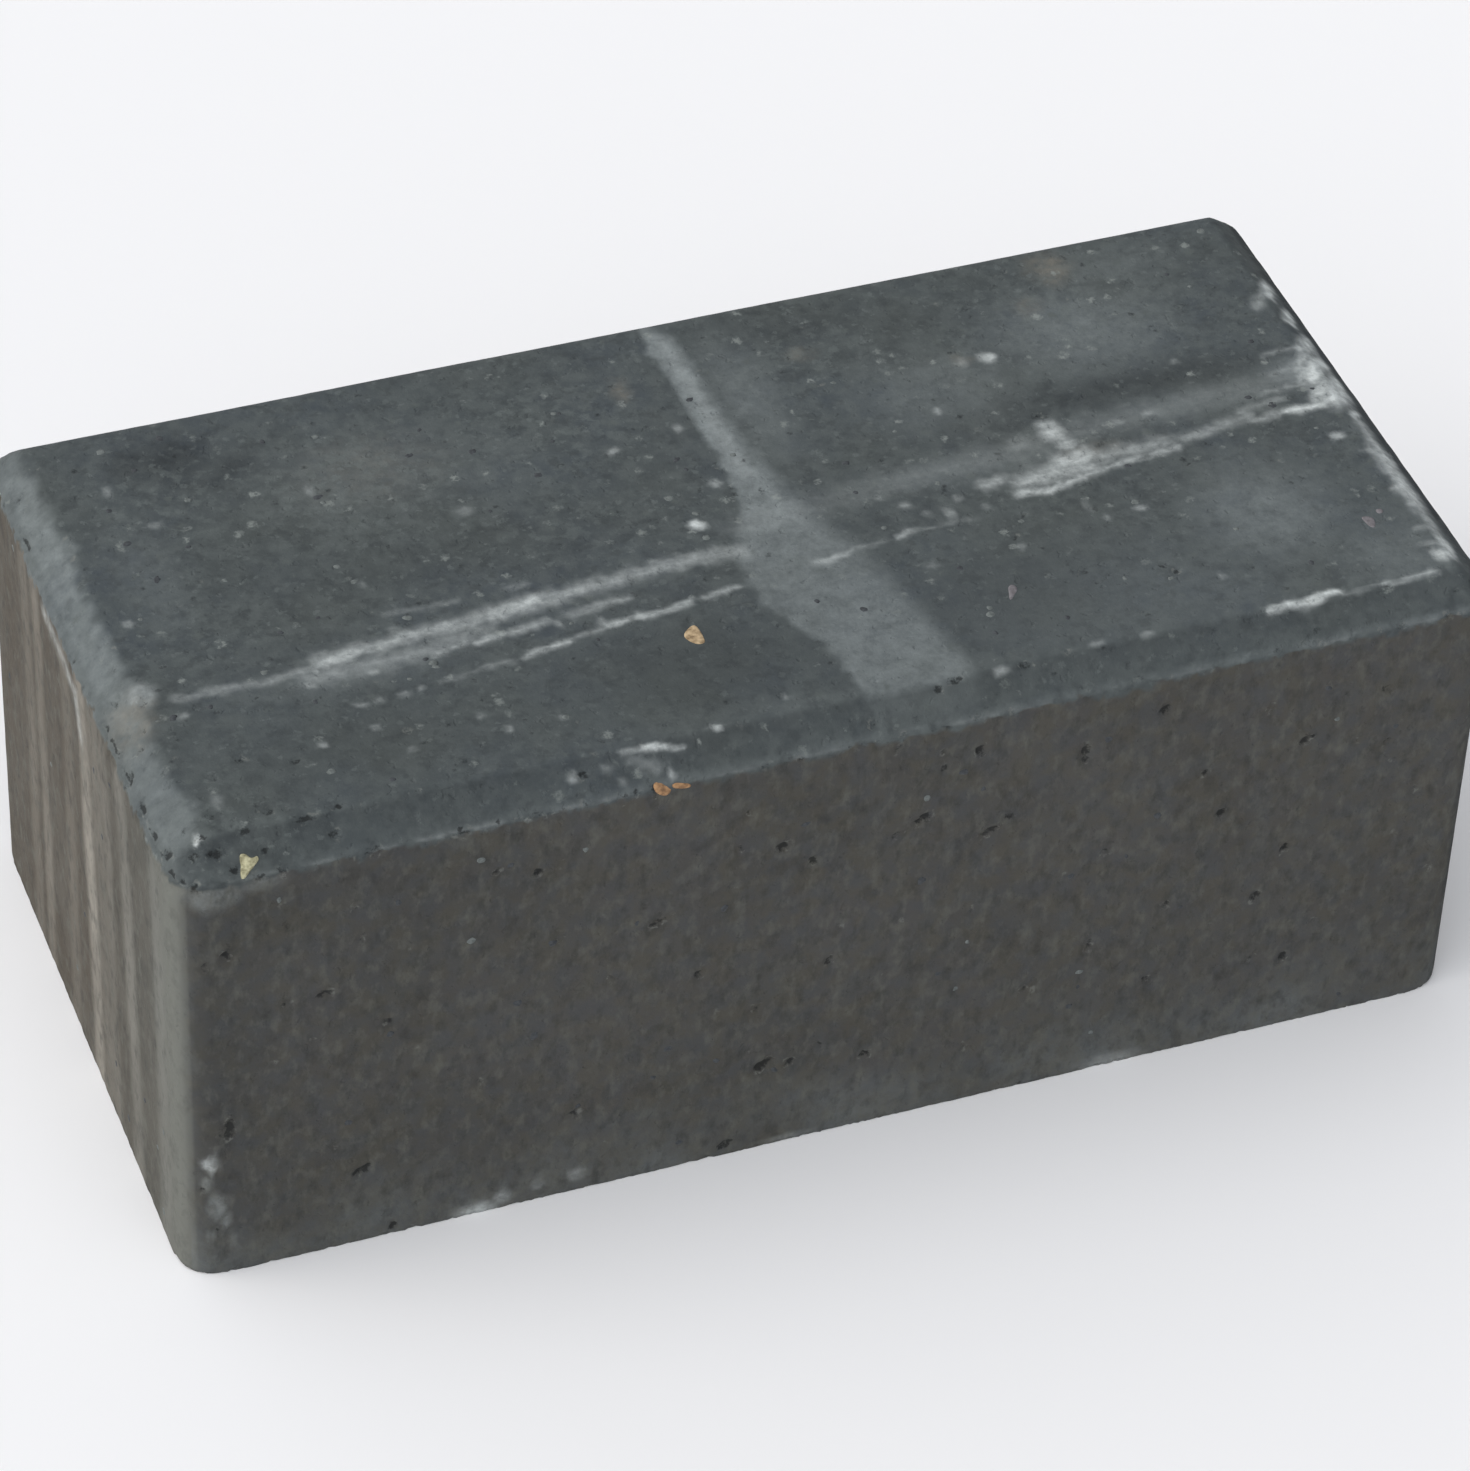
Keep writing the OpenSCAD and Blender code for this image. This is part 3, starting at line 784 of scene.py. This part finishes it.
    # Single grains, one in each cell whose chance is over a limit: spacing, limit, radius and shift.
    for name, spacing, limit, radius, shift in (
            ("fine", 1.5, 0.25, 0.60, (0, 0, 0)),
            ("pale", 3.6, masks["scarce_pale"], 0.46, (0.05, 0.02, 0.03)),
            ("dark", 3.2, masks["scarce_dark"], 0.34, (0.02, 0.06, 0.01))):
        where = add_node(tree, "Mapping", {"Vector": jittered, "Location": shift})
        cell = add_node(tree, "TexVoronoi", {
            "Vector": where, "Scale": per_mm / spacing, "Randomness": 1.0}, "Distance")
        chance = add_node(tree, "SeparateColor", (cell.node.outputs["Color"],), "Red")
        tone = chance.node.outputs["Blue"]
        reach = add_node(tree, "MapRange", (chance, limit, 1.0, 0.0, radius))
        away = add_node(tree, "Math", (cell, -1), operation="MULTIPLY")
        inside = add_node(tree, "Math", (reach, away), operation="ADD")
        masks[name] = add_node(tree, "MapRange", (inside, 0.0, 0.22))
        masks[name + "_tone"] = add_node(tree, "Math", (tone, tone), operation="MULTIPLY")

    def lay_over(colour, *layers):
        """Lays shades over a colour. A layer ends with its shade, and all before that is multiplied."""
        for first, *others, shade in layers:
            factor = masks[first]
            for other in others:
                other = masks[other] if isinstance(other, str) else other
                factor = add_node(tree, "Math", (factor, other), operation="MULTIPLY")
            under, over = (linear(c) if isinstance(c, str) else c for c in (colour, shade))
            colour = add_node(tree, "Mix", {
                "Factor": factor, "A": under, "B": over}, "Result", data_type="RGBA")
        return colour

    # Body colour: warm dark sides, and a bluer crown.
    sides = lay_over("#464542", ("cloud", "#4d4c4a"), ("smear", 0.4, "#52534f"), ("olive", 0.30, "#524e40"),
                     ("slate", 0.34, "#454a4f"))
    crown = lay_over("#454a49", ("cloud", "#434a4f"), ("smoke", 0.5, "#4f5554"), ("smear", 0.35, "#565c5b"),
                     ("mottle", "open_skin", "#5b6160"), ("shadow", 0.5, "#3b4041"))
    # The cement skin of the ends is clayey at the back, and clean towards the front corners.
    skin = lay_over("#4b4b45", ("clayey", "#4b453c"), ("cement", 0.5, "#5b5851"), ("corner", "#6f716b"))
    drawn = lay_over("#8b8c86", ("clayey", "#918c82"))
    colour = lay_over(
        sides, ("skin", skin), ("drag", "trail", drawn), ("crown", crown),
        # Damp patches and painted shade, pale dust with a painted highlight and painted bounce light, and
        # clay, each broken up by the grain.
        ("damp_and_shade", "wetness", "#2b2f31"), ("dust_and_painted_light", "powder", "#828989"), ("buff", "clay", "#857f72"),
        # The drawn-out sand of the sides shows as soft pale and dark flecks.
        ("pale_sand", "off_corner", "below_crown", "#62635c"),
        ("dark_sand", "off_corner", "below_crown", "#2f302e"),
        # On the crown the grains are whole: close fine sand, soft pale flecks where the skin is open,
        # then sparser pale and dark grains that are broken up like the real crushed sand.
        ("fine", 0.30, "crown", "sanded", lay_over("#484e4f", ("fine_tone", "#767d7b"))),
        ("fleck", "flecked", "crown", "#666d6b"),
        ("pale", "broken", 0.72, "crown", "sanded", lay_over("#565c5a", ("pale_tone", "#8d938f"))),
        ("dark", "broken", 0.85, "crown", "#2a2e2f"),
        # Lime, and the painted highlights along the front arris, in near white.
        ("lime_and_highlight", "#d0d6d4"),
        # Pits get painted shade, near black, inside a torn edge, and here and there a grain beside them
        # gets a painted highlight.
        ("beside_pit", "torn_rim", "glint", 0.45, "#7b7d78"),
        ("pit_shade", "torn_pit_shade", 0.76, "#1f2121"))

    # Relief finer than the mesh: sand grains, and small air holes.
    bump = add_node(tree, "Bump", {"Height": masks["grain"], "Strength": 0.35, "Distance": 0.35 * MM})
    bump = add_node(tree, "Bump", {
        "Height": masks["holes"], "Strength": 0.5, "Distance": 0.4 * MM, "Normal": bump})
    roughness = add_node(tree, "MapRange", (masks["grain"], 0.3, 0.7, 0.84, 0.96))
    for name, value in (("Base Color", colour), ("Normal", bump), ("Roughness", roughness)):
        tree.links.new(value, shader.inputs[name])
    shader.inputs["IOR"].default_value = 1.5
    shader.inputs["Specular IOR Level"].default_value = 0.3
    return material


def crushed_stone(name, dark, pale, size):
    """Broken stone in the mix: matt, with a sugary grain of two close colours."""
    material, tree, shader = new_material(name)
    place = add_node(tree, "TexCoord", output="Object")
    grain = add_node(tree, "TexNoise", {"Vector": place, "Scale": 1 / (size * MM), "Detail": 3.0})
    sugar = add_node(tree, "MapRange", (grain, 0.35, 0.65))
    colour = add_node(tree, "Mix", {
        "Factor": sugar, "A": linear(dark), "B": linear(pale)}, "Result", data_type="RGBA")
    bump = add_node(tree, "Bump", {"Height": grain, "Strength": 0.8, "Distance": 0.3 * MM})
    tree.links.new(colour, shader.inputs["Base Color"])
    tree.links.new(bump, shader.inputs["Normal"])
    shader.inputs["Roughness"].default_value = 0.8
    return material


# ---------------------------------------------------------------- stones that show in the faces

def give_finish(piece, material):
    """Smooths a selected piece and gives it its only material."""
    bpy.ops.object.shade_smooth()
    piece.data.materials.clear()
    piece.data.materials.append(material)


def join_stones(name, stones, material):
    """Makes one piece of many stones, all of one kind."""
    select_only(*stones)
    bpy.ops.object.join()
    piece = bpy.context.object
    piece.name = name
    keep_inside(piece.data)
    give_finish(piece, material)
    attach(piece, "root")


def find_seat(surface, outside, inwards):
    """The place where a line from outside meets the block's surface, and its normal there."""
    hit, normal, _, _ = surface.ray_cast(Vector(outside) * MM, Vector(inwards).normalized())
    return hit, normal


def make_stones(name, material, seats, surface):
    """Half-sunk stones. A seat is (outside point, direction inwards, half size), in millimetres."""
    rng = random.Random(name)
    stones = []
    for outside, inwards, half_size in seats:
        hit, normal = find_seat(surface, outside, inwards)
        if hit is None:
            continue
        select_only()
        bpy.ops.mesh.primitive_ico_sphere_add(subdivisions=2, radius=half_size * MM)
        stone = bpy.context.object
        for vertex in stone.data.vertices:
            vertex.co *= rng.uniform(0.72, 1.0)
        squash = Matrix.Diagonal((rng.uniform(0.8, 1.0), rng.uniform(0.6, 0.9), 0.40 / half_size, 1))
        spin = Matrix.Rotation(rng.uniform(0, math.tau), 4, "Z")
        tip = normal.to_track_quat("Z", "Y").to_matrix().to_4x4()
        # The mould has pressed the stone almost flush: its crown is flat, and stands 0.15 mm proud.
        sunk = hit + normal * -0.2 * MM
        stone.data.transform(Matrix.Translation(sunk) @ tip @ spin @ squash)
        stones.append(stone)
    join_stones(name, stones, material)


def make_chips(name, material, chips, surface):
    """Broken chips pressed flush. A chip is (outside point, direction inwards, outline)."""
    made = []
    for outside, inwards, outline in chips:
        hit, normal = find_seat(surface, outside, inwards)
        select_only()
        bpy.ops.mesh.primitive_circle_add(vertices=len(outline), radius=1, fill_type="NGON")
        chip = bpy.context.object
        for vertex, (across, along) in zip(chip.data.vertices, outline):
            vertex.co = Vector((across, along, 0)) * 1.08 * MM
        bpy.ops.object.mode_set(mode="EDIT")
        bpy.ops.mesh.select_all(action="SELECT")
        bpy.ops.mesh.extrude_region_move(TRANSFORM_OT_translate={"value": (0, 0, 0.7 * MM)})
        bpy.ops.mesh.inset(thickness=0.35 * MM, depth=0.22 * MM)
        bpy.ops.mesh.select_all(action="SELECT")
        bpy.ops.mesh.normals_make_consistent(inside=False)
        bpy.ops.object.mode_set(mode="OBJECT")
        apply_modifier(chip, "SUBSURF", levels=2, render_levels=2)
        # The chip lies along the block, tipped to the slope of the face.
        along_block = (Vector((1, 0, 0)) - normal * normal.x).normalized()
        tip = Matrix((along_block, normal.cross(along_block), normal)).transposed().to_4x4()
        chip.data.transform(Matrix.Translation(hit - normal * 0.72 * MM) @ tip)
        made.append(chip)
    join_stones(name, made, material)


def scattered_seats(seed, counts, smallest, largest):
    """Seats spread over the top, the long faces and the ends."""
    rng = random.Random(seed)
    top, side, end = counts
    far, edge_x, edge_y, edge_z = 40, 138, 63, 4
    seats = []

    def seat(outside, inwards):
        seats.append((outside, inwards, rng.uniform(smallest, largest)))

    for _ in range(top):
        x, y = rng.uniform(-edge_x, edge_x), rng.uniform(-edge_y, edge_y)
        seat((x, y, HEIGHT + far), (0, 0, -1))
    for facing in (-1, 1):
        for _ in range(side):
            x, z = rng.uniform(-edge_x, edge_x), rng.uniform(edge_z, SHOULDER - edge_z)
            seat((x, facing * (HALF_DEPTH + far), z), (0, -facing, 0))
        for _ in range(end):
            y, z = rng.uniform(-edge_y, edge_y), rng.uniform(edge_z, SHOULDER - edge_z)
            seat((facing * (HALF_LENGTH + far), y, z), (-facing, 0, 0))
    return seats


def main():
    add_camera()
    add_stage()
    block = shape_block()
    plain, normals, hollow = sink_relief(block)
    mark_surface(block.data, plain, normals, hollow)
    thin_out(block)
    select_only(block)
    give_finish(block, pressed_concrete())
    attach(block, "root")
    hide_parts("block")

    surface = BVHTree.FromObject(block, bpy.context.evaluated_depsgraph_get())
    down, slanted = (0, 0, -1), (0, 0.5, -1)
    # Outlines of chips, counter-clockwise, in millimetres across and along.
    shield = ((-2, -0.8), (-0.6, -3), (1.4, -3.2), (1.8, -1.8), (1.8, 2.8), (0.8, 3.4), (-2.2, 1))
    lump = ((-2, 0.4), (-1.6, -0.8), (-0.4, -1.6), (0.8, -1.8), (2, -0.8), (1.8, 0.8), (0.2, 1.8),
            (-1.6, 1.6))
    splint = ((-2.2, 0), (0, -0.6), (2, -0.8), (2, 0.2), (0, 0.8), (-2.2, 1.2))
    wedge = ((-1.4, 0.4), (-1.8, -1.2), (-2, -2.4), (-1, -2.4), (-0.2, -1.4), (0.8, -0.8), (1.6, 0),
             (2.4, 0.6), (2.2, 1.6), (1.4, 1.2), (0.6, 1.4), (0.2, 2.2), (-0.8, 2.6), (-1.4, 2))
    heel = ((-1, 0.4), (-0.8, -1.8), (0.4, -2.6), (1.2, -0.8), (1.6, 1.4), (-1.4, 2.2))
    flake = ((-0.8, -0.8), (0.8, -1), (1.4, 0.6), (-0.6, 1.2))
    sickle = ((-0.8, 0.2), (-1.8, -2.2), (-1, -2.4), (0.2, -0.8), (1.4, 0.2), (1.4, 1.8), (0.6, 2.6),
              (-0.6, 1.6))
    for name, stone, dark, pale, size, chips in (
            ("ochre_chip", "yellow_sandstone", "#7f6a4d", "#c2aa86", 1.4, (
                ((-23.8, -37.4, 160), down, shield),)),
            ("orange_chips", "ochre_sandstone", "#775a40", "#b18a62", 1.2, (
                ((-43.7, -94, 152.8), slanted, lump), ((-39.5, -94.5, 152.4), slanted, splint))),
            ("mauve_chips", "mauve_quartzite", "#676365", "#7b787b", 1.0, (
                ((46.4, -45, 160), down, sickle), ((130, -46.5, 160), down, heel),
                ((133.5, -44, 160), down, flake))),
            ("yellow_chip", "weathered_limestone", "#817d60", "#c6c29e", 1.2, (
                ((-133.1, -92.5, 154.8), slanted, wedge),))):
        make_chips(name, crushed_stone(stone, dark, pale, size), chips, surface)
    make_stones("pale_grit", crushed_stone("grey_quartzite", "#575d5b", "#707674", 0.9),
                scattered_seats(SEED, (36, 10, 6), 0.9, 1.7), surface)
    make_stones("dark_grit", crushed_stone("basalt_chippings", "#34373a", "#45494c", 0.9),
                scattered_seats(SEED + 1, (40, 30, 8), 0.9, 1.7), surface)


main()
